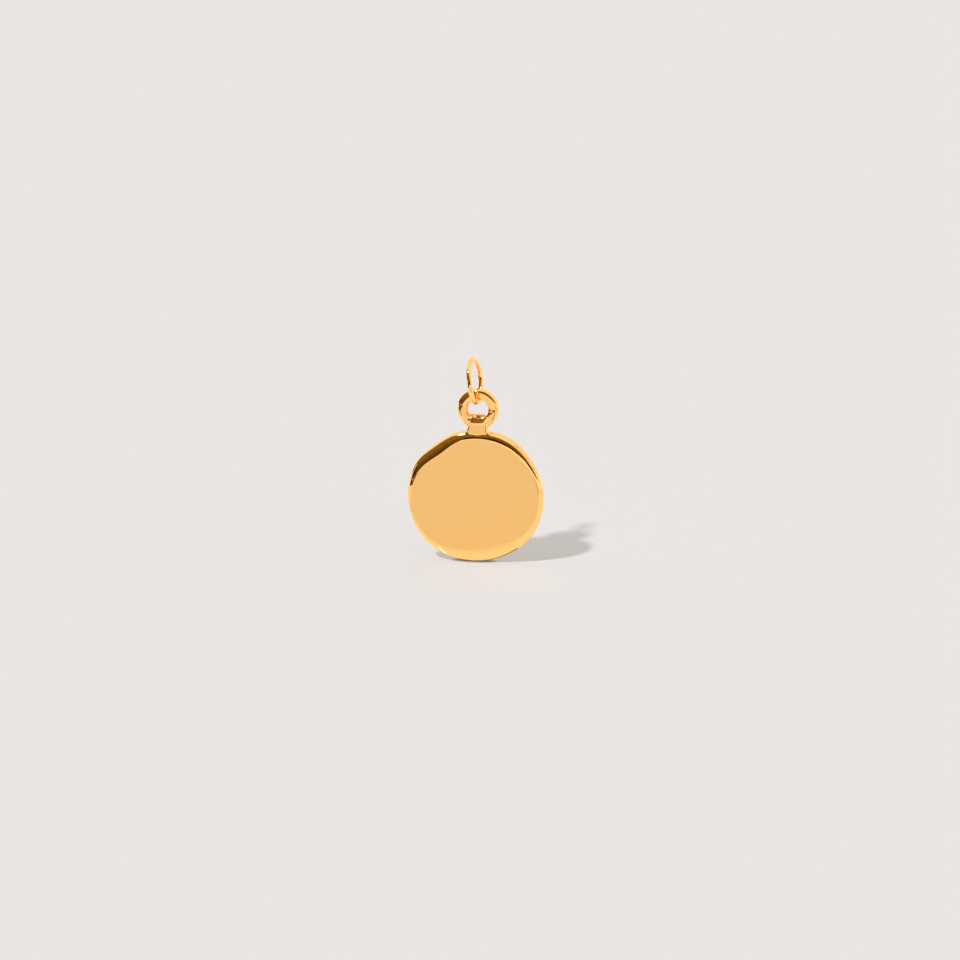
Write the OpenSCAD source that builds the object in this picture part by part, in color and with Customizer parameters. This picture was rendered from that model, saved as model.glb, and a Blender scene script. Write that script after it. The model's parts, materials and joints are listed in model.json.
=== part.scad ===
// Medallion pendant: a cast disc with a neck and an eye, hung on a round-wire jump ring.
// The origin is the top of the hole in the jump ring, where a chain passes.
// +Z is up and the flat face looks along -Y.

/* [Jump ring] */
// Outer diameter of the ring
ring_d = 5.36; // [5:0.02:6.4]
// Thickness of the ring's round wire
wire_d = 0.56; // [0.4:0.02:0.66]
// Lean of the ring's top to the left, in degrees
ring_lean = 9; // [0:0.5:12]
// Turn of the ring's near side to the left, in degrees
ring_turn = 5; // [0:0.5:8]

/* [Disc] */
// Diameter of the disc before its swells
disc_d = 15.18; // [14.8:0.02:17]
// Thickness of the disc from face to back
disc_t = 1.5; // [1.2:0.05:2]
// Width of the rounded front rim where it is narrowest
rim_w = 0.5; // [0.36:0.02:0.7]
// Width of the rounded rim at the back
back_rim_w = 0.6; // [0.3:0.05:1.2]

/* [Eye] */
// Outer diameter of the eye
eye_d = 4.65; // [4.4:0.05:4.8]
// Width of the eye's band from its outer edge to its hole
band_w = 1.24; // [0.9:0.02:1.3]
// Depth of the eye's band from its flat front to its flat back
band_t = 1.12; // [0.9:0.02:1.3]
// Radius of the band's rounded edges
band_round = 0.3; // [0.2:0.02:0.4]
// Height of the eye's centre above the disc's centre
eye_up = 10.06; // [9.96:0.02:10.2]
// How far the eye's centre lies to the right of the disc's centre
eye_right = 0.3; // [0:0.01:0.4]
// How far the ring's wire lies to the left of the eye's centre
hook_left = 0; // [0:0.01:0.3]
// Running gap between the eye and the ring's wire
running_gap = 0.06; // [0.04:0.01:0.1]

/* [Hidden] */

ring_mean_r = (ring_d - wire_d) / 2;
ring_hole_r = ring_mean_r - wire_d / 2;
band_mean_r = (eye_d - band_w) / 2;
eye_hole_r = band_mean_r - band_w / 2;

// The bottom of the ring's wire, which the eye hangs on and turns about
pivot_x = (ring_hole_r + ring_mean_r) * sin(ring_lean);
pivot_z = -(ring_hole_r + ring_mean_r) * cos(ring_lean);
// The wire lies in the eye's hole a running gap away from the band
wire_reach = eye_hole_r - wire_d / 2 - running_gap;
eye_z = pivot_z - sqrt(pow(wire_reach, 2) - pow(hook_left, 2));
disc_x = pivot_x + hook_left - eye_right;
disc_z = eye_z - eye_up;

// Columns of the two tables of swells round the disc
ANGLE = 0;
HEIGHT = 1;
SPREAD = 2;

// Swells of the outline: angle from the right, height, half of its spread
OUTLINE_SWELLS = [
    [ 62,  0.21, 36],
    [128, -0.27, 25],
    [232,  0.19, 46],
    [318,  0.07, 22]
];

// Where the front rim is wider than its narrowest: angle from the right, extra width, half of its spread
RIM_SWELLS = [
    [ 64, 0.46, 50],
    [128, 0.62, 54],
    [280, 1.12, 76]
];

// Columns of the rim's profile
INSET = 0;
DEPTH = 1;

// Profile of the rim from the outline to the flat: share of the rim's width, share of half the disc's thickness
RIM_PROFILE = [
    [0.00, 0.00],
    [0.02, 0.24],
    [0.07, 0.44],
    [0.17, 0.62],
    [0.32, 0.77],
    [0.50, 0.87],
    [0.73, 0.94],
    [1.00, 1.00]
];

// Columns of the neck's table
UP = 0;
HALF_WIDTH = 1;
HALF_DEPTH = 2;

// Oval sections of the neck, from inside the disc to the floor of the eye's hole
NECK = [
    [6.90, 1.75, 0.66],
    [7.35, 1.50, 0.64],
    [7.60, 1.26, 0.61],
    [7.87, 1.13, 0.60],
    [8.20, 1.20, 0.61],
    [8.60, 1.40, 0.61],
    [9.00, 1.24, 0.44],
    [9.32, 0.96, 0.22],
    [9.44, 0.60, 0.10]
];

disc_sides = 96;
neck_sides = 32;
round_sides = 96;

function total(list, i = 0) = i < len(list) ? list[i] + total(list, i + 1) : 0;
function turn_between(a, b) = abs((a - b + 540) % 360 - 180);
function swell(a, row) =
    let (turn = turn_between(a, row[ANGLE]))
    turn < row[SPREAD] ? row[HEIGHT] * (1 + cos(180 * turn / row[SPREAD])) / 2 : 0;
function swells(a, table) = total([for (row = table) swell(a, row)]);

// Radius of the disc's outline, and width of its front rim, in a direction
function outline_r(a) = disc_d / 2 + swells(a, OUTLINE_SWELLS);
function front_rim_w(a) = rim_w + swells(a, RIM_SWELLS);

// A ring of points of the rim, on its front where side is -1 and on its back where it is 1
function rim_ring(row, side) = [
    for (i = [0:disc_sides - 1])
        let (
            a = 360 * i / disc_sides,
            width = side < 0 ? front_rim_w(a) : back_rim_w,
            r = outline_r(a) - width * row[INSET]
        )
        [r * cos(a), side * row[DEPTH] * disc_t / 2, r * sin(a)]
];

// The skin of a stack of rings of points, each ring with the same number of sides
function skin(sides, rings) = concat(
    [[for (i = [sides - 1:-1:0]) i]],
    [for (k = [0:rings - 2]) for (i = [0:sides - 1])
        let (next = (i + 1) % sides)
        [k * sides + i, k * sides + next, (k + 1) * sides + next, (k + 1) * sides + i]],
    [[for (i = [0:sides - 1]) (rings - 1) * sides + i]]
);

// The rings run from the face's edge over the outline to the back's edge
module disc() {
    last = len(RIM_PROFILE) - 1;
    rings = concat(
        [for (k = [last:-1:0]) rim_ring(RIM_PROFILE[k], -1)],
        [for (k = [1:last]) rim_ring(RIM_PROFILE[k], 1)]
    );
    polyhedron(
        points = [for (ring = rings) for (point = ring) point],
        faces = skin(disc_sides, len(rings)),
        convexity = 4
    );
}

// The neck leans with the eye, which lies a little to the right
module neck() {
    polyhedron(
        points = [for (row = NECK) for (i = [0:neck_sides - 1])
            let (a = -360 * i / neck_sides)
            [eye_right * row[UP] / eye_up + row[HALF_WIDTH] * cos(a), row[HALF_DEPTH] * sin(a), row[UP]]],
        faces = skin(neck_sides, len(NECK)),
        convexity = 4
    );
}

module eye() {
    core = [band_w - 2 * band_round, band_t - 2 * band_round];
    translate([eye_right, 0, eye_up]) rotate([90, 0, 0]) rotate_extrude($fn = round_sides)
        translate([band_mean_r, 0]) offset(r = band_round, $fn = round_sides / 3) square(core, center = true);
}

module medallion() {
    color("gold") translate([disc_x, 0, disc_z]) union() {
        disc();
        neck();
        eye();
    }
}

module jump_ring() {
    color("goldenrod") rotate([0, -ring_lean, 0]) rotate([0, 0, -ring_turn])
        translate([0, 0, -ring_hole_r]) rotate([0, 90, 0]) rotate_extrude($fn = round_sides)
            translate([ring_mean_r, 0]) circle(d = wire_d, $fn = round_sides / 2);
}

jump_ring();
medallion();
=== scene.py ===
"""Looks of a medallion pendant: a polished cast disc with a neck and an eye, on a slim jump ring.

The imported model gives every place. The pieces are modelled around it in metres, in its own frame.
"""

import json
import logging
import math
from collections.abc import Callable, Iterator
from contextlib import contextmanager
from dataclasses import dataclass, field
from enum import Enum
from typing import Any

import bmesh
import bpy
from mathutils import Matrix, Vector

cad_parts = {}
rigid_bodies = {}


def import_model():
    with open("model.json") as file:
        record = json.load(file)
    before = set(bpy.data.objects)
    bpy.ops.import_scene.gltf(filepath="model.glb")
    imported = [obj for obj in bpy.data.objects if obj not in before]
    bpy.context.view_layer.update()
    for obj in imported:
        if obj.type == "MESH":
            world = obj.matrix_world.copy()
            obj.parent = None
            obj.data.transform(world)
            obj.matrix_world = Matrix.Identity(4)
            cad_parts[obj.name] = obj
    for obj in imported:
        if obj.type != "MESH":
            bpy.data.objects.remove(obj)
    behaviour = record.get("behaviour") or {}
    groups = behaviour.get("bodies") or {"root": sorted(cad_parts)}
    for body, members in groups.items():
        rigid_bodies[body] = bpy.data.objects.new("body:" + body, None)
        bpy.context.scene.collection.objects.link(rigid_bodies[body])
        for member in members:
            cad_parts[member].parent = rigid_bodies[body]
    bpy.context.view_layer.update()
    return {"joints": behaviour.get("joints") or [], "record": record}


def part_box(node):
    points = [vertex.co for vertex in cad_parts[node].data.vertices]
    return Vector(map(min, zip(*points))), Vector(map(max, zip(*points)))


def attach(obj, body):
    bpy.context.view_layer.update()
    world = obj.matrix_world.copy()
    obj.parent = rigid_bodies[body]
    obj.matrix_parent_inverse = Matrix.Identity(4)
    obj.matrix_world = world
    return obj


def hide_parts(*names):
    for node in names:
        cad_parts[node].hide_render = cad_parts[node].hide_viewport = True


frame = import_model()

MM = 0.001
TINY = 0.002 * MM
FAR = 1.0
UP = Vector((0.0, 0.0, 1.0))
BACKWARDS = Vector((0.0, 1.0, 0.0))
BLACK = (0.0, 0.0, 0.0, 1.0)
HOLLOW = "hollow"

# Sockets of the Mix node when it mixes colours
MIX_SHARE, MIX_FIRST, MIX_SECOND, MIX_RESULT = 0, 6, 7, 2

Colour = tuple[float, float, float]
Stop = tuple[float, Colour]

log = logging.getLogger("pendant")


def direction(azimuth: float, elevation: float) -> Vector:
    """The unit vector at an azimuth, right of the front, and an elevation above the floor, in degrees."""
    turn, rise = math.radians(azimuth), math.radians(elevation)
    return Vector((math.sin(turn) * math.cos(rise), -math.cos(turn) * math.cos(rise), math.sin(rise)))


def deselect_all() -> None:
    """Leaves no object selected."""
    for thing in bpy.context.view_layer.objects.selected:
        thing.select_set(False)


def activate(piece: bpy.types.Object) -> None:
    """Makes a piece the only selected one."""
    deselect_all()
    piece.select_set(True)
    bpy.context.view_layer.objects.active = piece


def settle(piece: bpy.types.Object) -> None:
    """Puts a piece's place, turn and scale into its mesh."""
    activate(piece)
    bpy.ops.object.transform_apply(location=True, rotation=True, scale=True)


class Part(Enum):
    """What is selected in edit mode."""

    CORNER = "VERT"
    EDGE = "EDGE"
    FACE = "FACE"


class Side(Enum):
    """Which half of the pendant is meant, by the sign of its depth."""

    FRONT = -1
    BOTH = 0
    BACK = 1


@contextmanager
def editing(piece: bpy.types.Object, part: Part = Part.FACE) -> Iterator[None]:
    """Opens a piece in edit mode with nothing selected, and closes it again.

    Args:
        piece: The piece to edit.
        part: What is selected.
    """
    activate(piece)
    bpy.ops.object.mode_set(mode="EDIT")
    bpy.ops.mesh.select_mode(type=part.value)
    bpy.ops.mesh.select_all(action="DESELECT")
    yield
    bpy.ops.object.mode_set(mode="OBJECT")


def spots(item: bmesh.types.BMVert | bmesh.types.BMEdge | bmesh.types.BMFace) -> list[Vector]:
    """The points that say where a corner, an edge or a face lies."""
    if isinstance(item, bmesh.types.BMFace):
        return [item.calc_center_median()]
    if isinstance(item, bmesh.types.BMEdge):
        return [corner.co for corner in item.verts]
    return [item.co]


def pick(piece: bpy.types.Object, wanted: Callable[[Vector], bool], part: Part = Part.FACE) -> int:
    """Selects, by their place, the corners, edges or faces of the piece that is being edited.

    Args:
        piece: The piece in edit mode.
        wanted: Says of a point whether what lies there is selected.
        part: What is selected.

    Returns:
        How many are selected.
    """
    bpy.ops.mesh.select_mode(type=part.value)
    bpy.ops.mesh.select_all(action="DESELECT")
    mesh = bmesh.from_edit_mesh(piece.data)
    items = {Part.CORNER: mesh.verts, Part.EDGE: mesh.edges, Part.FACE: mesh.faces}[part]
    found = [item for item in items if all(wanted(spot) for spot in spots(item))]
    for item in found:
        item.select_set(True)
    mesh.select_flush_mode()
    bmesh.update_edit_mesh(piece.data)
    return len(found)


def stretch(middle: Vector, x: float = 1.0, y: float = 1.0, z: float = 1.0) -> None:
    """Scales what is selected in edit mode about a point."""
    bpy.ops.transform.resize(value=(x, y, z), center_override=middle)


def shift(x: float = 0.0, y: float = 0.0, z: float = 0.0) -> None:
    """Moves what is selected in edit mode."""
    bpy.ops.transform.translate(value=(x, y, z))


def face_outwards(piece: bpy.types.Object) -> None:
    """Turns every face of a piece outwards and leaves the piece active."""
    with editing(piece):
        bpy.ops.mesh.select_all(action="SELECT")
        bpy.ops.mesh.normals_make_consistent(inside=False)
    activate(piece)


def hang(name: str, data: bpy.types.Camera | bpy.types.Light, source: Vector) -> bpy.types.Object:
    """Adds a camera or a lamp, turned to look back from a direction.

    Args:
        name: The object's name.
        data: The camera or the lamp.
        source: The direction that it looks from.

    Returns:
        The object, at the origin.
    """
    thing = bpy.data.objects.new(name, data)
    thing.rotation_mode = "QUATERNION"
    thing.rotation_quaternion = (-source).to_track_quat("-Z", "Y")
    bpy.context.scene.collection.objects.link(thing)
    return thing


class Value:
    """A number in a node tree, on which Python's operators add Math nodes."""

    def __init__(self, bench: "Bench", socket: bpy.types.NodeSocket) -> None:
        """Wraps an output socket of a bench's tree."""
        self.bench = bench
        self.socket = socket

    def _math(self, operation: str, *others: Any) -> "Value":
        """Adds a Math node whose inputs are this value and the others."""
        return self.bench.add("ShaderNodeMath", {"operation": operation}, [self, *others]).value()

    def __add__(self, other: Any) -> "Value":
        """This value plus another."""
        return self._math("ADD", other)

    __radd__ = __add__

    def __sub__(self, other: Any) -> "Value":
        """This value less another."""
        return self._math("SUBTRACT", other)

    def __rsub__(self, other: Any) -> "Value":
        """Another value less this one."""
        return self.bench.add("ShaderNodeMath", {"operation": "SUBTRACT"}, [other, self]).value()

    def __mul__(self, other: Any) -> "Value":
        """This value times another."""
        return self._math("MULTIPLY", other)

    __rmul__ = __mul__

    def most(self, other: Any) -> "Value":
        """The larger of this value and another."""
        return self._math("MAXIMUM", other)

    def size(self) -> "Value":
        """This value without its sign."""
        return self._math("ABSOLUTE")

    def sine(self) -> "Value":
        """The sine of this value."""
        return self._math("SINE")

    def ramp(self, low: float, high: float, start: float = 0.0, end: float = 1.0) -> "Value":
        """A smooth step of this value.

        Args:
            low: Where the step begins.
            high: Where it ends.
            start: The result up to low.
            end: The result from high.

        Returns:
            The stepped value.
        """
        settings = {"interpolation_type": "SMOOTHSTEP", "clamp": True}
        return self.bench.add("ShaderNodeMapRange", settings, [self, low, high, start, end]).value()


class Made:
    """A node that a bench has added."""

    def __init__(self, bench: "Bench", node: bpy.types.Node) -> None:
        """Keeps the node and its bench."""
        self.bench = bench
        self.node = node

    def value(self, name: str | int = 0) -> Value:
        """One of the node's outputs as a number."""
        return Value(self.bench, self.node.outputs[name])

    def out(self, name: str | int = 0) -> bpy.types.NodeSocket:
        """One of the node's outputs."""
        return self.node.outputs[name]


class Bench:
    """A node tree on which nodes are laid out."""

    def __init__(self, tree: bpy.types.NodeTree) -> None:
        """Clears the tree."""
        self.tree = tree
        tree.nodes.clear()

    def add(self, kind: str, settings: dict[str, Any] | None = None,
            inputs: dict[str | int, Any] | list[Any] | None = None) -> Made:
        """Adds a node, sets it up and feeds it.

        Args:
            kind: The node's type.
            settings: Its own settings, and a ramp's stops under the name stops.
            inputs: Values or links of its input sockets, by name or in order; None leaves one as it is.

        Returns:
            The node.
        """
        node = self.tree.nodes.new(kind)
        for name, setting in (settings or {}).items():
            if name == "stops":
                self._set_stops(node, setting)
            else:
                setattr(node, name, setting)
        pairs = inputs.items() if isinstance(inputs, dict) else enumerate(inputs or [])
        for name, feed in pairs:
            self._feed(node.inputs[name], feed)
        return Made(self, node)

    def _set_stops(self, node: bpy.types.Node, stops: tuple[Stop, ...]) -> None:
        """Gives a colour ramp its stops, each a place and a colour."""
        elements = node.color_ramp.elements
        while len(elements) < len(stops):
            elements.new(1.0)
        for element, (place, colour) in zip(elements, stops):
            element.position = place
            element.color = (*colour, 1.0)

    def _feed(self, socket: bpy.types.NodeSocket, feed: Any) -> None:
        """Sets or links an input socket."""
        if isinstance(feed, Value):
            feed = feed.socket
        if isinstance(feed, bpy.types.NodeSocket):
            self.tree.links.new(feed, socket)
        elif feed is not None:
            socket.default_value = feed

    def vector(self, operation: str, *inputs: Any) -> Made:
        """Adds a Vector Math node."""
        return self.add("ShaderNodeVectorMath", {"operation": operation}, list(inputs))

    def scaled(self, vector: Any, scale: Any) -> bpy.types.NodeSocket:
        """A vector or a colour times a number."""
        return self.add("ShaderNodeVectorMath", {"operation": "SCALE"}, {0: vector, "Scale": scale}).out()

    def noise(self, place: Any, pitch: float, detail: float) -> Value:
        """Adds a noise of about 0 to 1.

        Args:
            place: Where the noise is looked up.
            pitch: The width of a cell.
            detail: How many finer layers it has.

        Returns:
            The noise.
        """
        inputs = {"Vector": place, "Scale": 1 / pitch, "Detail": detail}
        return self.add("ShaderNodeTexNoise", {}, inputs).value()

    def blend(self, share: Any, first: Any, second: Any, way: str = "MIX") -> bpy.types.NodeSocket:
        """Mixes two colours.

        Args:
            share: How much the second colour counts.
            first: The first colour.
            second: The second colour.
            way: Blender's name for the way they are mixed.

        Returns:
            The mixed colour.
        """
        mixer = self.add("ShaderNodeMix", {"data_type": "RGBA", "blend_type": way},
                         {MIX_SHARE: share, MIX_FIRST: first, MIX_SECOND: second})
        return mixer.out(MIX_RESULT)

    def surface(self, inputs: dict[str, Any]) -> None:
        """Adds a Principled shader with its inputs, and the output."""
        shader = self.add("ShaderNodeBsdfPrincipled", {}, inputs)
        self.add("ShaderNodeOutputMaterial", {}, {"Surface": shader.out()})

    def glowing_surface(self, colour: Any, glow: Any) -> None:
        """Adds a matt surface with a colour and a glow, and the output."""
        self.surface({
            "Base Color": colour,
            "Roughness": 1.0,
            "Specular IOR Level": 0.0,
            "Emission Color": glow,
            "Emission Strength": 1.0,
        })


def open_material(name: str) -> tuple[bpy.types.Material, Bench]:
    """Makes a material, and a bench for its nodes."""
    material = bpy.data.materials.new(name)
    material.use_nodes = True
    return material, Bench(material.node_tree)


@dataclass(frozen=True)
class View:
    """Where the photograph was taken from and how it frames the pendant."""

    azimuth: float = 8.0
    elevation: float = 18.0
    distance: float = 294 * MM
    lens: float = 100.0
    sensor: float = 36.0
    picture: float = 960.0
    disc_column: float = 475.7
    disc_row: float = 495.8
    clip_ratio: float = 20.0

    def make_camera(self, disc_centre: Vector) -> None:
        """Aims a camera so that the disc's centre lies where the photograph shows it."""
        back = direction(self.azimuth, self.elevation)
        right = direction(self.azimuth + 90, 0)
        above = back.cross(right)
        metres_per_pixel = self.distance * self.sensor / self.lens / self.picture
        aim = disc_centre + right * (self.picture / 2 - self.disc_column) * metres_per_pixel
        aim = aim + above * (self.disc_row - self.picture / 2) * metres_per_pixel
        data = bpy.data.cameras.new("camera")
        data.lens = self.lens
        data.sensor_width = self.sensor
        data.clip_start = self.distance / self.clip_ratio
        data.clip_end = self.distance * self.clip_ratio
        camera = hang("camera", data, back)
        camera.location = aim + back * self.distance
        bpy.context.scene.camera = camera


class Stance(Enum):
    """How a card is put up."""

    LYING = "lying on the floor"
    STANDING = "standing on its edge"


@dataclass(frozen=True)
class Card:
    """A glowing or dark card that only shows in the gold, as a painted reflection, with a painted shade
    towards its foot where it has one and faint bars where it has them.
    """

    name: str
    x: float
    y: float
    width: float
    height: float
    turn: float = 0.0
    stance: Stance = Stance.LYING
    tone: Colour = (0.01, 0.006, 0.003)
    foot: float = 1.0
    bar_depth: float = 0.0
    bar_pitch: float = 6 * MM
    lift: float = 0.05 * MM

    def place(self, floor_height: float) -> None:
        """Lays the card on the floor or stands it there."""
        standing = self.stance is Stance.STANDING
        rise = self.height / 2 if standing else self.lift
        slant = math.pi / 2 if standing else 0.0
        deselect_all()
        bpy.ops.mesh.primitive_plane_add(size=1.0, location=(self.x, self.y, floor_height + rise),
                                         rotation=(slant, 0.0, math.radians(self.turn)))
        card = bpy.context.object
        card.name = self.name
        card.scale = (self.width, self.height, 1.0)
        settle(card)
        material, bench = open_material(self.name)
        place = bench.add("ShaderNodeTexCoord").out("Object")
        up = bench.add("ShaderNodeSeparateXYZ", {}, [place]).value("Z") - floor_height
        bars = (up * (2 * math.pi / self.bar_pitch)).sine() * 0.5 + 0.5
        shade = up.ramp(0.0, self.height / 2, self.foot, 1.0) * (1.0 - bars * self.bar_depth)
        # The card is a painted reflection: a black surface that glows in its tone, darker to its foot and
        # barred, hidden from the camera, from shadows and from diffuse light.
        bench.glowing_surface(BLACK, bench.scaled(self.tone, shade))
        card.data.materials.append(material)
        card.visible_camera = False
        card.visible_shadow = False
        card.visible_diffuse = False


@dataclass(frozen=True)
class Studio:
    """A pale floor in a bright room that is dark on the camera's side, with painted reflections in the
    gold from cards and floor strips, and a painted contact shadow.
    """

    pale: Colour = (0.823, 0.793, 0.755)
    floor_size: float = 3.0
    floor_matt: float = 0.25
    floor_glow: float = 0.455
    # Painted reflection: extra floor glow seen only in the gold, with its strips, steep and far parts
    # below.
    painted_reflection_glow: float = 0.095
    steep_glow: float = 0.20
    steep_gain: float = 1.3
    steep_from: float = 0.62
    steep_to: float = 0.35
    far_glow: float = 0.30
    far_from: float = 0.84
    far_to: float = 0.92
    strip_right: float = 5.5 * MM
    strip_left: float = -17 * MM
    strip_fade: float = 8 * MM
    front_from: float = -46 * MM
    front_to: float = -68 * MM
    front_fade: float = 6 * MM
    contact_reach: float = 0.45 * MM
    contact_from: float = 0.3
    contact_to: float = 0.9
    contact_shade: float = 0.35
    contact_samples: int = 4
    key_azimuth: float = -42.0
    key_elevation: float = 53.0
    key_strength: float = 5.1
    key_spread: float = 4.0
    key_colour: Colour = (1.0, 1.01, 1.10)
    # Painted reflections: dark, brown and white cards that show only in the gold.
    cards: tuple[Card, ...] = (
        Card("black_card_right", 26 * MM, -89 * MM, 8 * MM, 125 * MM, 12.9),
        Card("black_card_left", -48.4 * MM, -21.7 * MM, 26.6 * MM, 14.5 * MM, -65.9, Stance.STANDING),
        Card("brown_card", -49.5 * MM, -73.9 * MM, 65 * MM, 29 * MM, -33.9, Stance.STANDING,
             tone=(0.25, 0.15, 0.028), foot=0.35, bar_depth=0.75),
        Card("brown_card_low", -42 * MM, -45 * MM, 32 * MM, 24 * MM, tone=(0.12, 0.07, 0.015)),
        Card("brown_card_middle", -46 * MM, -64 * MM, 24 * MM, 14 * MM, tone=(0.30, 0.19, 0.04)),
        Card("brown_card_right", 48 * MM, -14 * MM, 4.5 * MM, 65 * MM, 73, Stance.STANDING,
             tone=(0.32, 0.20, 0.06)),
        Card("brown_card_under", 2.2 * MM, 0.4 * MM, 7 * MM, 1.2 * MM, tone=(0.30, 0.19, 0.08)),
        Card("white_card_under", -3.85 * MM, -1.15 * MM, 0.4 * MM, 2 * MM, -35, tone=(2.2, 2.1, 2.2)),
        Card("white_card", -55 * MM, -2 * MM, 13 * MM, 22 * MM, -88, Stance.STANDING,
             tone=(1.0, 1.0, 1.0)),
    )
    bright: float = 1.05
    dark_azimuth: float = -32.0
    dark_drop: float = 35.0
    dark_fade: float = 0.08
    dark_side: tuple[Stop, ...] = (
        (0.49, (1.0, 1.0, 1.0)),
        (0.51, (0.12, 0.07, 0.02)),
        (0.56, (0.12, 0.07, 0.02)),
        (0.60, (0.29, 0.18, 0.035)),
        (0.64, (0.17, 0.10, 0.02)),
        (0.68, (0.34, 0.21, 0.04)),
        (0.73, (0.18, 0.11, 0.02)),
        (0.78, (0.32, 0.20, 0.04)),
        (0.84, (0.26, 0.16, 0.03)),
    )
    shelves: tuple[Stop, ...] = (
        (0.14, (0.20, 0.09, 0.05)),
        (0.17, (1.15, 1.15, 1.15)),
        (0.21, (0.35, 0.33, 0.30)),
        (0.25, (1.1, 1.1, 1.1)),
        (0.29, (0.50, 0.48, 0.45)),
        (0.33, (1.60, 1.60, 1.60)),
        (0.37, (0.42, 0.40, 0.37)),
        (0.41, (1.25, 1.25, 1.25)),
        (0.46, (0.58, 0.56, 0.53)),
        (0.52, (1.20, 1.20, 1.20)),
    )
    indirect_limit: float = 2.0

    def build(self, floor_height: float) -> None:
        """Makes the floor, the cards, the key light and the room."""
        self._lay_floor(floor_height)
        for card in self.cards:
            card.place(floor_height)
        self._hang_key()
        self._light_room()
        bpy.context.scene.view_settings.view_transform = "Standard"
        bpy.context.scene.cycles.sample_clamp_indirect = self.indirect_limit

    def _lay_floor(self, height: float) -> None:
        """Lays a wide pale floor, lit through from below as a light table is, with a painted contact
        shadow under the pendant and extra glow painted where it shows in the gold.
        """
        deselect_all()
        bpy.ops.mesh.primitive_plane_add(size=self.floor_size, location=(0.0, 0.0, height))
        floor = bpy.context.object
        floor.name = "floor"
        settle(floor)
        material, bench = open_material("pale_floor")
        mirrored = bench.add("ShaderNodeLightPath").value("Is Glossy Ray")
        # Painted contact shadow: ambient occlusion darkens the floor's colour and glow near the pendant,
        # but not where the floor is seen in the gold.
        clear = bench.add("ShaderNodeAmbientOcclusion", {"samples": self.contact_samples},
                          {"Distance": self.contact_reach}).value("AO")
        shade = clear.ramp(self.contact_from, self.contact_to, self.contact_shade, 1.0).most(mirrored)
        # Painted reflection: where the gold mirrors the floor, the floor glows brighter.
        glow = (self.floor_glow + mirrored * self._painted_reflection_glow(bench)) * shade
        matt = bench.scaled(self.pale, shade * self.floor_matt)
        bench.glowing_surface(matt, bench.scaled(self.pale, glow))
        floor.data.materials.append(material)

    def _painted_reflection_glow(self, bench: Bench) -> Value:
        """The painted reflection: how much brighter the floor is painted where it is seen in the gold
        only: in strips, steeply and far off.
        """
        slant = bench.add("ShaderNodeLayerWeight", {}, {"Blend": 0.5}).value("Facing")
        place = bench.add("ShaderNodeTexCoord").out("Object")
        split = bench.add("ShaderNodeSeparateXYZ", {}, [place])
        column, row = split.value("X"), split.value("Y")
        right = column.ramp(self.strip_right, self.strip_right + self.strip_fade)
        left = column.ramp(self.strip_left - self.strip_fade, self.strip_left, 1.0, 0.0)
        steep = slant.ramp(self.steep_to, self.steep_from, 1.0, 0.0) * self.steep_gain
        far = slant.ramp(self.far_from, self.far_to, 0.0, self.far_glow)
        front = (row.ramp(self.front_from - self.front_fade, self.front_from, 1.0, 0.0)
                 * row.ramp(self.front_to - 2 * self.front_fade, self.front_to))
        return self.painted_reflection_glow + self.steep_glow * right.most(left).most(steep).most(front) + far

    def _hang_key(self) -> None:
        """Hangs a small soft lamp high at the front left."""
        data = bpy.data.lights.new("key", "SUN")
        data.energy = self.key_strength
        data.color = self.key_colour
        data.angle = math.radians(self.key_spread)
        hang("key", data, direction(self.key_azimuth, self.key_elevation))

    def _light_room(self) -> None:
        """Lights the room all round, apart from a dark side with shelves in front and to the left."""
        world = bpy.data.worlds.new("room")
        bpy.context.scene.world = world
        world.use_nodes = True
        bench = Bench(world.node_tree)
        towards_dark = direction(self.dark_azimuth, -self.dark_drop)
        facing = bench.add("ShaderNodeTexCoord").out("Generated")
        depth = bench.vector("DOT_PRODUCT", facing, tuple(towards_dark)).value("Value")
        height = bench.add("ShaderNodeSeparateXYZ", {}, [facing]).value("Z")
        dark = bench.add("ShaderNodeValToRGB", {"stops": self.dark_side}, [depth * 0.5 + 0.5]).out()
        shelves = bench.add("ShaderNodeValToRGB", {"stops": self.shelves}, [height]).out()
        shaded = bench.blend(depth.ramp(0.0, self.dark_fade), dark, shelves, "MULTIPLY")
        room = bench.add("ShaderNodeBackground", {}, {"Color": shaded, "Strength": self.bright})
        backdrop = bench.add("ShaderNodeBackground", {}, {"Color": (*self.pale, 1.0)})
        seen = bench.add("ShaderNodeLightPath").out("Is Camera Ray")
        both = bench.add("ShaderNodeMixShader", {}, [seen, room.out(), backdrop.out()])
        bench.add("ShaderNodeOutputWorld", {}, {"Surface": both.out()})


class Polish(Enum):
    """How a surface was polished, as the depths of its marks round the axis and of its hairlines."""

    CAST = (1.0, 1.0)
    DRAWN = (0.6, 0.4)

    @property
    def round_share(self) -> float:
        """How deep the marks round the axis are."""
        return self.value[0]

    @property
    def hair_share(self) -> float:
        """How deep the hairlines are."""
        return self.value[1]


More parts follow.
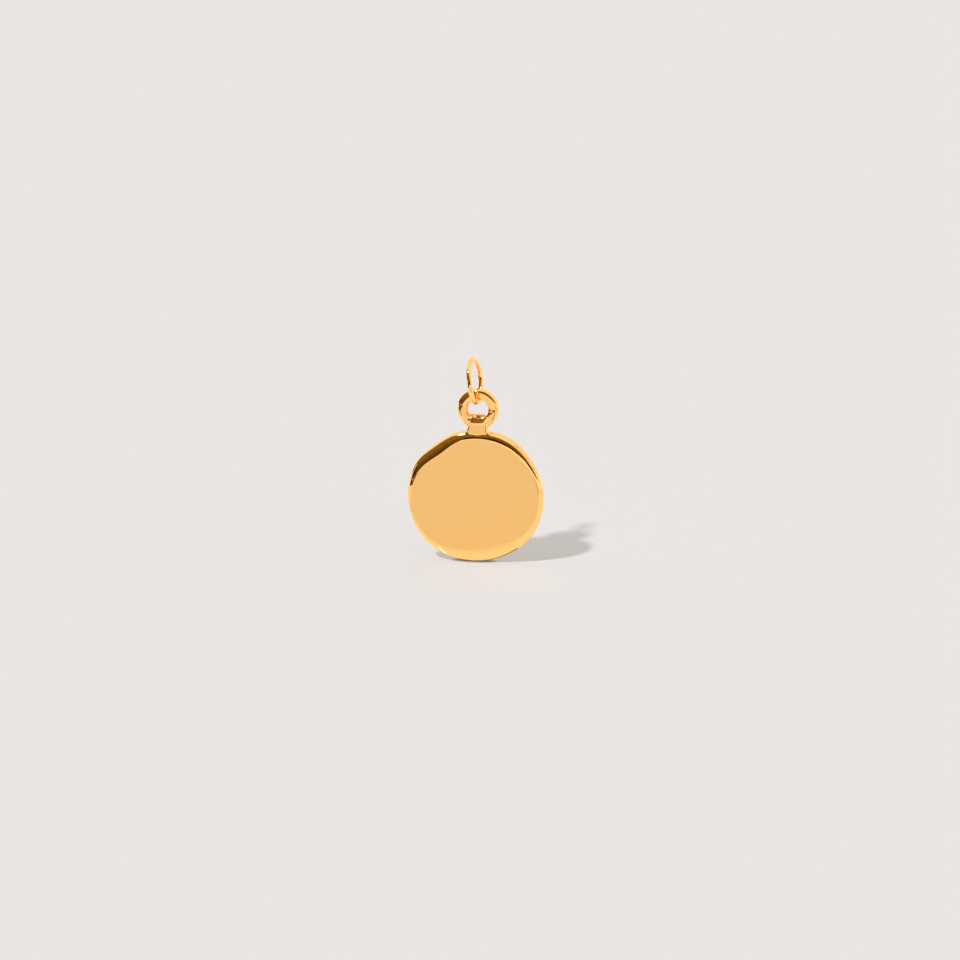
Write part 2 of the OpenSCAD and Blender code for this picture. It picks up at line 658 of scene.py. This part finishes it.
@dataclass(frozen=True)
class GoldFinish:
    """Polished yellow gold with fine marks that run round an axis, grain beyond them, and hairlines."""

    name: str
    polish: Polish
    centre: Vector
    axis: Vector
    marks_end: float = 1.0
    marks_fade: float = 0.3 * MM
    marks_loss: float = 0.9
    colour: Colour = (1.0, 0.60, 0.213)
    deep_colour: Colour = (0.93, 0.53, 0.17)
    hollow_tint: float = 0.8
    roughness: float = 0.045
    smear_pitch: float = 0.9 * MM
    smear_tint: float = 0.3
    smear_rough: float = 0.03
    smear_share: float = 0.6
    round_pitch: float = 0.16 * MM
    round_spread: float = 7 / 6
    round_slope: float = 0.8
    round_depth: float = 0.007 * MM
    hair_pitch: float = 0.05 * MM
    hair_length: float = 14.0
    hair_depth: float = 0.00003 * MM
    hair_turns: tuple[float, float] = (0.5, 2.2)
    flat_from: float = 0.965
    flat_to: float = 0.998
    grain_pitch: float = 0.15 * MM
    grain_depth: float = 0.009 * MM
    grain_front: float = -0.35 * MM
    grain_back: float = 0.0
    wave_pitch: float = 1.6 * MM
    wave_depth: float = 0.0006 * MM

    def make(self) -> bpy.types.Material:
        """Makes the material."""
        material, bench = open_material(self.name)
        place = bench.add("ShaderNodeTexCoord").out("Object")
        out = bench.vector("SUBTRACT", place, tuple(self.centre)).out()
        along = bench.vector("DOT_PRODUCT", out, tuple(self.axis)).value("Value")
        height, marked, beyond = self._round_marks(bench, out, along)
        grain = bench.noise(out, self.grain_pitch, detail=2.0)
        front = along.ramp(self.grain_front, self.grain_back, 1.0, 0.0)
        height = height + (grain - 0.5) * marked * beyond * front * self.grain_depth
        height = height + self._hairlines(bench, out) * self.polish.hair_share
        wave = bench.noise(out, self.wave_pitch, detail=1.0)
        height = height + (wave - 0.5) * marked * self.wave_depth
        bump = bench.add("ShaderNodeBump", {}, {"Strength": 1.0, "Distance": 1.0, "Height": height})
        smear = bench.noise(out, self.smear_pitch, detail=3.0)
        # Hollows are tinted towards a darker, deeper gold and made rougher; the smear noise varies tone
        # and roughness at random.
        hollow = bench.add("ShaderNodeAttribute", {"attribute_name": HOLLOW}).value("Fac")
        tint = (hollow * self.hollow_tint + (smear - 0.5) * self.smear_tint).most(0.0)
        bench.surface({
            "Base Color": bench.blend(tint, (*self.colour, 1.0), (*self.deep_colour, 1.0)),
            "Metallic": 1.0,
            "Roughness": self.roughness + self.smear_rough * (smear * self.smear_share + hollow),
            "Normal": bump.out(),
        })
        return material

    def _round_marks(self, bench: Bench, out: Any, along: Value) -> tuple[Value, Value, Value]:
        """Makes the height of the marks that run round the axis, and where they are.

        Args:
            bench: The tree.
            out: Place from the finish's centre.
            along: Its part along the axis.

        Returns:
            The height, a share that is 0 where the surface is square to the axis and 1 elsewhere, and
            one that is 1 beyond the end of the marks.
        """
        axis = tuple(self.axis)
        radial = bench.vector("SUBTRACT", out, bench.scaled(axis, along)).out()
        radius = bench.vector("LENGTH", radial).value("Value")
        turned = bench.vector("NORMALIZE", radial).out()
        across = (radius + along * self.round_slope) * (1 / self.round_pitch)
        spread = bench.scaled(turned, self.round_spread)
        lane = bench.vector("ADD", spread, bench.scaled(axis, across)).out()
        lines = bench.noise(lane, pitch=1.0, detail=2.0)
        normal = bench.add("ShaderNodeNewGeometry").out("Normal")
        square = bench.vector("DOT_PRODUCT", normal, axis).value("Value").size()
        marked = square.ramp(self.flat_from, self.flat_to, 1.0, 0.0)
        beyond = radius.ramp(self.marks_end, self.marks_end + self.marks_fade)
        depth = (1.0 - beyond * self.marks_loss) * (self.round_depth * self.polish.round_share)
        return (lines - 0.5) * marked * depth, marked, beyond

    def _hairlines(self, bench: Bench, out: Any) -> Value:
        """Makes the height of hairlines in two directions."""
        total = None
        for turn in self.hair_turns:
            rotated = bench.add("ShaderNodeVectorRotate", {"rotation_type": "AXIS_ANGLE"},
                                {"Vector": out, "Axis": tuple(self.axis), "Angle": turn}).out()
            drawn = bench.vector("MULTIPLY", rotated, (1.0, 1.0, 1 / self.hair_length)).out()
            lines = bench.noise(drawn, self.hair_pitch, detail=1.0) * self.hair_depth
            total = lines if total is None else total + lines
        return total


def mark_hollows(piece: bpy.types.Object, reach: float) -> None:
    """Stores how hollow a piece is at each corner, from 0 on flat and round parts to 1 in tight hollows.

    Args:
        piece: The finished piece.
        reach: The radius of a hollow that counts in full.
    """
    mesh = bmesh.new()
    mesh.from_mesh(piece.data)
    depths = []
    for corner in mesh.verts:
        bends = [edge.other_vert(corner).co - corner.co for edge in corner.link_edges]
        bend = sum(part.dot(corner.normal) / part.length_squared for part in bends) / max(len(bends), 1)
        depths.append(min(max(2 * bend * reach, 0.0), 1.0))
    mesh.free()
    layer = piece.data.attributes.new(HOLLOW, "FLOAT", "POINT")
    layer.data.foreach_set("value", depths)


@dataclass(frozen=True)
class Swell:
    """A soft rise or dip of the disc's edge."""

    angle: float
    height: float
    spread: float

    def at(self, angle: float) -> float:
        """How high the swell is in a direction, with angles in degrees from the right."""
        turn = abs((angle - self.angle + 540) % 360 - 180)
        if turn >= self.spread:
            return 0.0
        return self.height * (1 + math.cos(math.pi * turn / self.spread)) / 2


def swells(angle: float, table: tuple[Swell, ...]) -> float:
    """How far a table of swells lifts the edge in a direction."""
    return sum(swell.at(angle) for swell in table)


@dataclass(frozen=True)
class Loop:
    """Where a loop of the eye's tube ends up: its turn round the tube, its radius and its depth."""

    turn: float
    radius: float
    depth: float


@dataclass(frozen=True)
class Move:
    """A shift of the eye's corners between two distances from its axis, in a sector from the bottom."""

    name: str
    low: float
    high: float
    first: float
    last: float
    side: Side = Side.BOTH
    x: float = 0.0
    y: float = 0.0
    z: float = 0.0
    level: float = 0.0
    flatten: float = 1.0


@dataclass(frozen=True)
class Press:
    """A small dent in the eye's front, or a small lump where its depth is negative."""

    x: float
    z: float
    size: float
    depth: float


@dataclass(frozen=True)
class Crease:
    """An edge of the eye that stays crisp, between two distances from its axis, in a sector."""

    name: str
    low: float
    high: float
    first: float
    last: float
    side: Side
    sharpness: float


@dataclass
class Medallion:
    """The cast body: a disc with a flat face, a neck and an eye, in one smooth skin."""

    low: Vector = field(default_factory=lambda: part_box("medallion")[0])
    high: Vector = field(default_factory=lambda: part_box("medallion")[1])
    pivot: Vector = field(default_factory=lambda: Vector(frame["joints"][0]["pos_m"]))
    sides: int = 96
    radius: float = 7.59 * MM
    rim: float = 0.50 * MM
    back_rim: float = 0.60 * MM
    profile: tuple[tuple[float, float], ...] = (
        (0.08, 0.45), (0.33, 0.77), (0.55, 0.89), (0.77, 0.953), (1.0, 1.0))
    outline_swells: tuple[Swell, ...] = (
        Swell(62, 0.21 * MM, 36),
        Swell(128, -0.27 * MM, 25),
        Swell(232, 0.19 * MM, 46),
        Swell(318, 0.07 * MM, 22),
    )
    rim_swells: tuple[Swell, ...] = (
        Swell(64, 0.46 * MM, 50),
        Swell(128, 0.62 * MM, 54),
        Swell(280, 1.12 * MM, 76),
    )
    face_edge: float = 0.05 * MM
    face_margin: float = 0.35 * MM
    eye_up: float = 10.06 * MM
    eye_right: float = 0.30 * MM
    eye_outer: float = 2.325 * MM
    tube: float = 0.62 * MM
    eye_open: float = 1.95 * MM
    eye_segments: int = 32
    tube_segments: int = 12
    open_segments: float = 2.5
    front_share: float = 0.4
    smooth_levels: int = 2
    neck_steps: tuple[int, int] = (-2, 3)
    neck_sections: tuple[tuple[float, float, float], ...] = (
        (7.62 * MM, 1.18 * MM, 0.61 * MM),
        (7.84 * MM, 1.13 * MM, 0.63 * MM),
    )
    eye_loops: tuple[Loop, ...] = (
        Loop(0, 2.34 * MM, 0.0),
        Loop(30, 2.27 * MM, 0.34 * MM),
        Loop(60, 2.06 * MM, 0.56 * MM),
        Loop(90, 1.66 * MM, 0.57 * MM),
        Loop(120, 1.28 * MM, 0.56 * MM),
        Loop(150, 1.10 * MM, 0.36 * MM),
        Loop(180, 1.075 * MM, 0.0),
    )
    eye_moves: tuple[Move, ...] = (
        *(Move("pad", 1.25 * MM, 2.20 * MM, -reach, reach, Side.FRONT, y=-0.02 * MM)
          for reach in (90, 79, 67, 56)),
        Move("hole floor", 1.06 * MM, 1.09 * MM, -50, 50, level=-0.60 * MM, flatten=0.1, y=-0.08 * MM),
        Move("floor front", 1.09 * MM, 1.12 * MM, -45, 45, Side.FRONT, y=0.09 * MM, z=-0.02 * MM),
        Move("floor front bulge", 0.0, 1.20 * MM, -34, 34, Side.FRONT, y=-0.07 * MM),
        Move("floor front bulge", 0.0, 1.20 * MM, -23, 23, Side.FRONT, y=-0.07 * MM),
        Move("floor front bulge", 0.0, 1.20 * MM, -11, 11, Side.FRONT, y=-0.04 * MM),
        Move("floor back", 1.09 * MM, 1.12 * MM, -45, 45, Side.BACK, level=-0.72 * MM, flatten=0.1),
        Move("floor front left", 1.20 * MM, 1.257 * MM, -36, -31, Side.FRONT,
             x=-0.08 * MM, y=-0.12 * MM, z=0.06 * MM),
        Move("floor front right", 1.20 * MM, 1.257 * MM, 31, 36, Side.FRONT, y=-0.06 * MM),
        Move("bowl right", 1.26 * MM, 1.30 * MM, 56, 67, Side.FRONT, x=-0.08 * MM, z=-0.05 * MM),
        Move("bowl right", 1.26 * MM, 1.30 * MM, 45, 56, Side.FRONT, x=-0.22 * MM, z=-0.06 * MM),
        Move("bowl right", 1.26 * MM, 1.30 * MM, 34, 45, Side.FRONT, x=-0.14 * MM, z=-0.20 * MM),
        Move("bowl left", 1.26 * MM, 1.30 * MM, -56, -45, Side.FRONT, x=-0.21 * MM, z=-0.29 * MM),
        Move("bowl left", 1.26 * MM, 1.30 * MM, -45, -34, Side.FRONT, x=-0.24 * MM, z=-0.39 * MM),
        Move("bowl edge", 1.26 * MM, 1.30 * MM, -33, -20, Side.FRONT,
             x=-0.24 * MM, level=-1.50 * MM, flatten=0.1),
        Move("bowl edge", 1.26 * MM, 1.30 * MM, -20, 33, Side.FRONT,
             x=-0.08 * MM, level=-1.50 * MM, flatten=0.1),
        Move("wedge", 2.00 * MM, 2.12 * MM, -165, -105, Side.FRONT, x=0.13 * MM, z=-0.17 * MM),
        Move("top right", 2.00 * MM, 2.12 * MM, 125, 180, Side.FRONT, x=-0.07 * MM, z=-0.12 * MM),
        Move("top right bevel", 2.22 * MM, 2.30 * MM, 112, 180, Side.FRONT, y=-0.09 * MM),
        Move("top right bevel", 2.22 * MM, 2.30 * MM, 146, 180, Side.FRONT, y=-0.04 * MM),
    )
    lip_below: float = 0.5 * MM
    lip_reach: float = 0.04 * MM
    lip_pull: float = 0.2
    neck_lips: tuple[tuple[float, float], ...] = ((0.9 * MM, 0.10 * MM), (0.4 * MM, 0.12 * MM))
    marks_past: float = 0.2 * MM
    hollow_reach: float = 0.3 * MM
    presses: tuple[Press, ...] = (
        Press(1.72 * MM, 0.02 * MM, 0.22 * MM, 0.10 * MM),
        Press(1.98 * MM, 0.30 * MM, 0.14 * MM, 0.07 * MM),
        Press(1.46 * MM, -0.26 * MM, 0.17 * MM, 0.06 * MM),
        Press(1.18 * MM, -0.66 * MM, 0.14 * MM, -0.03 * MM),
        Press(-1.80 * MM, 0.42 * MM, 0.15 * MM, 0.07 * MM),
        Press(-0.25 * MM, -0.95 * MM, 0.11 * MM, -0.02 * MM),
        Press(-0.92 * MM, -1.10 * MM, 0.12 * MM, -0.03 * MM),
    )
    eye_creases: tuple[Crease, ...] = (
        Crease("right edge of the flat", 2.00 * MM, 2.12 * MM, 85, 180, Side.FRONT, 0.4),
        Crease("inner edge of the flat", 1.26 * MM, 1.30 * MM, -130, 68, Side.FRONT, 0.8),
        Crease("floor of the hole", 1.06 * MM, 1.09 * MM, -62, 62, Side.BOTH, 0.8),
        Crease("front of the floor", 1.09 * MM, 1.12 * MM, -34, 34, Side.FRONT, 0.7),
    )

    def __post_init__(self) -> None:
        """Works out the places from the frame."""
        self.half_depth = (self.high.y - self.low.y) / 2
        self.eye = Vector((self.pivot.x, 0.0, self.high.z - self.eye_outer))
        self.centre = self.eye - Vector((self.eye_right, 0.0, self.eye_up))

    def build(self) -> bpy.types.Object:
        """Models the body, dresses it and sets it in the frame."""
        piece = self._turn_disc()
        self._make_uneven(piece)
        self._raise_neck(piece)
        piece = self._join_eye(piece)
        self._fill_eye(piece)
        self._smooth(piece)
        self._press(piece)
        piece.name = "medallion_body"
        mark_hollows(piece, self.hollow_reach)
        piece.data.materials.append(self._finish().make())
        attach(piece, "pendant")
        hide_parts("medallion")
        return piece

    def _finish(self) -> GoldFinish:
        """The polish of a casting, with a lapped flat face and marks that run round the rim."""
        marks_end = self.radius + self.marks_past
        return GoldFinish("medallion_gold", Polish.CAST, self.centre, BACKWARDS, marks_end)

    def _turn_disc(self) -> bpy.types.Object:
        """Draws the outline, extrudes it to the front and to the back, and closes both sides."""
        deselect_all()
        bpy.ops.mesh.primitive_circle_add(vertices=self.sides, radius=self.radius, fill_type="NOTHING",
                                          location=self.centre, rotation=(math.pi / 2, 0.0, 0.0))
        piece = bpy.context.object
        settle(piece)
        for side, rim in ((-1, self.rim), (1, self.back_rim)):
            with editing(piece, Part.CORNER):
                pick(piece, lambda at: abs(at.y - self.centre.y) < TINY, Part.CORNER)
                radius, depth = self.radius, 0.0
                for inset_share, depth_share in self.profile:
                    next_radius = self.radius - rim * inset_share
                    next_depth = self.half_depth * depth_share
                    bpy.ops.mesh.extrude_edges_move(
                        TRANSFORM_OT_translate={"value": (0.0, side * (next_depth - depth), 0.0)})
                    stretch(self.centre, x=next_radius / radius, z=next_radius / radius)
                    radius, depth = next_radius, next_depth
                bpy.ops.mesh.edge_face_add()
                bpy.ops.mesh.select_mode(type=Part.FACE.value)
                bpy.ops.mesh.inset(thickness=self.face_edge)
                bpy.ops.mesh.inset(thickness=self.face_margin)
        return piece

    def _make_uneven(self, piece: bpy.types.Object) -> None:
        """Gives the outline its soft corners and the front rim its changing width."""
        for corner in piece.data.vertices:
            out = corner.co - self.centre
            radius = math.hypot(out.x, out.z)
            if radius < TINY:
                continue
            angle = math.degrees(math.atan2(out.z, out.x))
            inset = self.radius - radius
            outline = self.radius + swells(angle, self.outline_swells)
            if out.y < -TINY:
                width = self.rim + swells(angle, self.rim_swells)
                inset = width * min(inset / self.rim, 1.0) + max(inset - self.rim, 0.0)
            scale = (outline - inset) / radius
            corner.co = self.centre + Vector((out.x * scale, out.y, out.z * scale))

    def _raise_neck(self, piece: bpy.types.Object) -> None:
        """Extrudes the neck out of the top of the rim."""
        step = 360 / self.sides
        first, last = (count * step for count in self.neck_steps)
        reach = self.half_depth * self.profile[1][1]

        def on_top(at: Vector) -> bool:
            """Says whether a face lies under the neck."""
            out = at - self.centre
            turn = math.degrees(math.atan2(out.x, out.z))
            return first < turn < last and abs(out.y) < reach and out.z > 0

        with editing(piece):
            log.info("neck grows from %d faces", pick(piece, on_top))
            left = self.radius * math.sin(math.radians(first))
            right = self.radius * math.sin(math.radians(last))
            width, depth = (right - left) / 2, reach
            middle = self.centre + Vector(((left + right) / 2, 0.0, self.radius))
            for index, (up, half_width, half_depth) in enumerate(self.neck_sections):
                bpy.ops.mesh.extrude_region_move()
                if index == 0:
                    stretch(middle, z=0.0)
                now = self.centre + Vector((self.eye_right * up / self.eye_up, 0.0, up))
                shift(x=now.x - middle.x, z=now.z - middle.z)
                stretch(now, x=half_width / width, y=half_depth / depth)
                width, depth, middle = half_width, half_depth, now
            bpy.ops.mesh.delete(type="FACE")
        lip_height = self.radius - self.lip_below
        for half_width, drop in self.neck_lips:

            def on_lip(at: Vector) -> bool:
                """Says whether a corner lies in the middle of the neck's lower front edge."""
                out = at - self.centre
                return (abs(out.x - self.eye_right) < half_width and out.z > lip_height
                        and abs(out.y + reach) < self.lip_reach)

            with editing(piece, Part.CORNER):
                log.info("neck lip has %d corners", pick(piece, on_lip, Part.CORNER))
                shift(y=-self.lip_pull * drop, z=-drop)

    def _on_eye(self, low: float, high: float, first: float, last: float,
                side: Side = Side.BOTH) -> Callable[[Vector], bool]:
        """Makes a test of places on the eye.

        Args:
            low: The least distance from the eye's axis.
            high: The greatest distance from it.
            first: Where the sector begins, in degrees from the bottom, positive to the right.
            last: Where it ends.
            side: Whether it takes the front, the back or both.

        Returns:
            A test that says whether a point lies there.
        """
        reach = abs(side.value) * self.tube * self.front_share

        def test(at: Vector) -> bool:
            """Says whether a point lies in the sector."""
            out = at - self.eye
            turn = math.degrees(math.atan2(out.x, -out.z))
            return (low < math.hypot(out.x, out.z) < high and first < turn < last
                    and out.y * side.value >= reach)

        return test

    def _form_eye(self) -> bpy.types.Object:
        """Bends a tube to the eye and flattens its front and its back."""
        deselect_all()
        bpy.ops.mesh.primitive_torus_add(
            major_segments=self.eye_segments, minor_segments=self.tube_segments,
            major_radius=self.eye_outer - self.tube, minor_radius=self.tube,
            location=self.eye, rotation=(math.pi / 2, 0.0, 0.0))
        eye = bpy.context.object
        settle(eye)
        with editing(eye):
            bpy.ops.mesh.select_all(action="SELECT")
            bpy.ops.transform.rotate(value=math.pi / self.eye_segments, orient_axis="Y",
                                     center_override=self.eye)
        middle = self.eye_outer - self.tube
        near = 4 * TINY
        for row in self.eye_loops:
            turn = math.radians(row.turn)
            radius = middle + self.tube * math.cos(turn)
            depth = self.tube * math.sin(turn)
            for side in ((-1, 1) if depth > TINY else (1,)):
                with editing(eye, Part.CORNER):
                    place = self.eye + Vector((0.0, side * depth, 0.0))

                    def on_loop(at: Vector) -> bool:
                        """Says whether a corner lies on the loop."""
                        out = at - self.eye
                        return (abs(math.hypot(out.x, out.z) - radius) < near
                                and abs(out.y - side * depth) < near)

                    pick(eye, on_loop, Part.CORNER)
                    stretch(place, x=row.radius / radius, z=row.radius / radius)
                    shift(y=side * (row.depth - depth))
        return eye

    def _join_eye(self, piece: bpy.types.Object) -> bpy.types.Object:
        """Adds the eye, opens it at the bottom and bridges it to the neck."""
        eye = self._form_eye()
        half_turn = self.open_segments * 360 / self.eye_segments
        with editing(eye):
            at_bottom = self._on_eye(self.eye_open, FAR, -half_turn, half_turn)
            log.info("eye opens by %d faces", pick(eye, at_bottom))
            bpy.ops.mesh.delete(type="FACE")
        deselect_all()
        eye.select_set(True)
        piece.select_set(True)
        bpy.context.view_layer.objects.active = piece
        bpy.ops.object.join()
        with editing(piece, Part.EDGE):
            bpy.ops.mesh.select_non_manifold()
            bpy.ops.mesh.bridge_edge_loops()
        return piece

    def _fill_eye(self, piece: bpy.types.Object) -> None:
        """Lifts the floor of the eye's hole, raises the pad below it and cuts the bowl between them."""
        for row in self.eye_creases:
            with editing(piece, Part.EDGE):
                wanted = self._on_eye(row.low, row.high, row.first, row.last, row.side)
                log.info("%s: %d edges", row.name, pick(piece, wanted, Part.EDGE))
                bpy.ops.transform.edge_crease(value=row.sharpness)
        for row in self.eye_moves:
            with editing(piece, Part.CORNER):
                wanted = self._on_eye(row.low, row.high, row.first, row.last, row.side)
                found = pick(piece, wanted, Part.CORNER)
                level = self.eye + Vector((0.0, 0.0, row.level))
                stretch(level, z=row.flatten)
                shift(x=row.x, y=row.y, z=row.z)
            log.info("%s: %d corners", row.name, found)

    def _press(self, piece: bpy.types.Object) -> None:
        """Presses the dents and lumps of the casting into the eye's front."""
        for press in self.presses:
            spot = self.eye + Vector((press.x, 0.0, press.z))
            with editing(piece, Part.CORNER):
                mesh = bmesh.from_edit_mesh(piece.data)
                front = [corner for corner in mesh.verts if corner.co.y < -self.front_share * self.tube]
                nearest = min(front, key=lambda corner: math.hypot(corner.co.x - spot.x,
                                                                   corner.co.z - spot.z))
                nearest.select_set(True)
                mesh.select_flush_mode()
                bpy.ops.transform.translate(
                    value=(0.0, press.depth, 0.0), use_proportional_edit=True,
                    use_proportional_connected=True, proportional_edit_falloff="SMOOTH",
                    proportional_size=press.size)

    def _smooth(self, piece: bpy.types.Object) -> None:
        """Rounds the skin and turns its faces outwards."""
        activate(piece)
        rounding = piece.modifiers.new("Subdivision", "SUBSURF")
        rounding.levels = self.smooth_levels
        bpy.ops.object.modifier_apply(modifier=rounding.name)
        face_outwards(piece)
        bpy.ops.object.shade_smooth()


@dataclass
class JumpRing:
    """A ring of round wire, closed with a butt joint behind the eye."""

    low: Vector = field(default_factory=lambda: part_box("jump_ring")[0])
    high: Vector = field(default_factory=lambda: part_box("jump_ring")[1])
    steps: int = 160
    wire_sides: int = 32
    joint_angle: float = 222.0
    joint_gap: float = 0.02 * MM
    joint_bevel: float = 0.03 * MM
    bevel_segments: int = 2
    smooth_angle: float = 40.0

    def __post_init__(self) -> None:
        """Works out the ring's size and lie from its box and its mount."""
        self.axis = Vector(frame["record"]["mounts"][0]["axis"]).normalized()
        self.centre = (self.low + self.high) / 2
        size = self.high - self.low
        spread_x = math.sqrt(1 - self.axis.x ** 2)
        spread_z = math.sqrt(1 - self.axis.z ** 2)
        self.mean_radius = (size.z - size.x) / 2 / (spread_z - spread_x)
        self.wire_radius = size.z / 2 - self.mean_radius * spread_z

    def build(self) -> bpy.types.Object:
        """Bends the wire, dresses it and sets it in the frame."""
        log.info("ring of %.2f mm, wire of %.2f mm", 2 * (self.mean_radius + self.wire_radius) / MM,
                 2 * self.wire_radius / MM)
        deselect_all()
        bpy.ops.mesh.primitive_circle_add(vertices=self.wire_sides, radius=self.wire_radius,
                                          fill_type="NOTHING", location=(0.0, 0.0, self.mean_radius))
        piece = bpy.context.object
        settle(piece)
        turn = 2 * math.pi - self.joint_gap / self.mean_radius
        start = Vector((0.0, 0.0, self.mean_radius))
        with editing(piece, Part.CORNER):
            bpy.ops.mesh.select_all(action="SELECT")
            bpy.ops.transform.rotate(value=math.pi / 2, orient_axis="X", center_override=start)
            bpy.ops.mesh.spin(steps=self.steps, angle=turn, center=(0.0, 0.0, 0.0), axis=(1.0, 0.0, 0.0))
            bpy.ops.mesh.select_non_manifold()
            bpy.ops.mesh.edge_face_add()
            bpy.ops.mesh.region_to_loop()
            bpy.ops.mesh.bevel(offset=self.joint_bevel, segments=self.bevel_segments, affect="EDGES")
        self._lay(piece)
        face_outwards(piece)
        bpy.ops.object.shade_smooth_by_angle(angle=math.radians(self.smooth_angle))
        piece.name = "jump_ring_wire"
        mark_hollows(piece, self.wire_radius)
        finish = GoldFinish("ring_gold", Polish.DRAWN, self.centre, self.axis)
        piece.data.materials.append(finish.make())
        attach(piece, "ring")
        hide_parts("jump_ring")
        return piece

    def _lay(self, piece: bpy.types.Object) -> None:
        """Turns the bent wire so that its joint is hidden, and lays it where the frame has it."""
        side = self.axis
        front = UP.cross(side).normalized()
        top = side.cross(front)
        lie = Matrix((side, front, top)).transposed().to_4x4()
        turn = Matrix.Rotation(math.radians(self.joint_angle), 4, "X")
        piece.matrix_world = Matrix.Translation(self.centre) @ lie @ turn
        settle(piece)


def main() -> None:
    """Builds the studio and the pendant."""
    logging.basicConfig(level=logging.INFO, format="%(name)s: %(message)s")
    medallion = Medallion()
    ring = JumpRing()
    View().make_camera(medallion.centre)
    Studio().build(medallion.low.z)
    for piece in (medallion.build(), ring.build()):
        log.info("%s has %d faces", piece.name, len(piece.data.polygons))


if __name__ == "__main__":
    main()
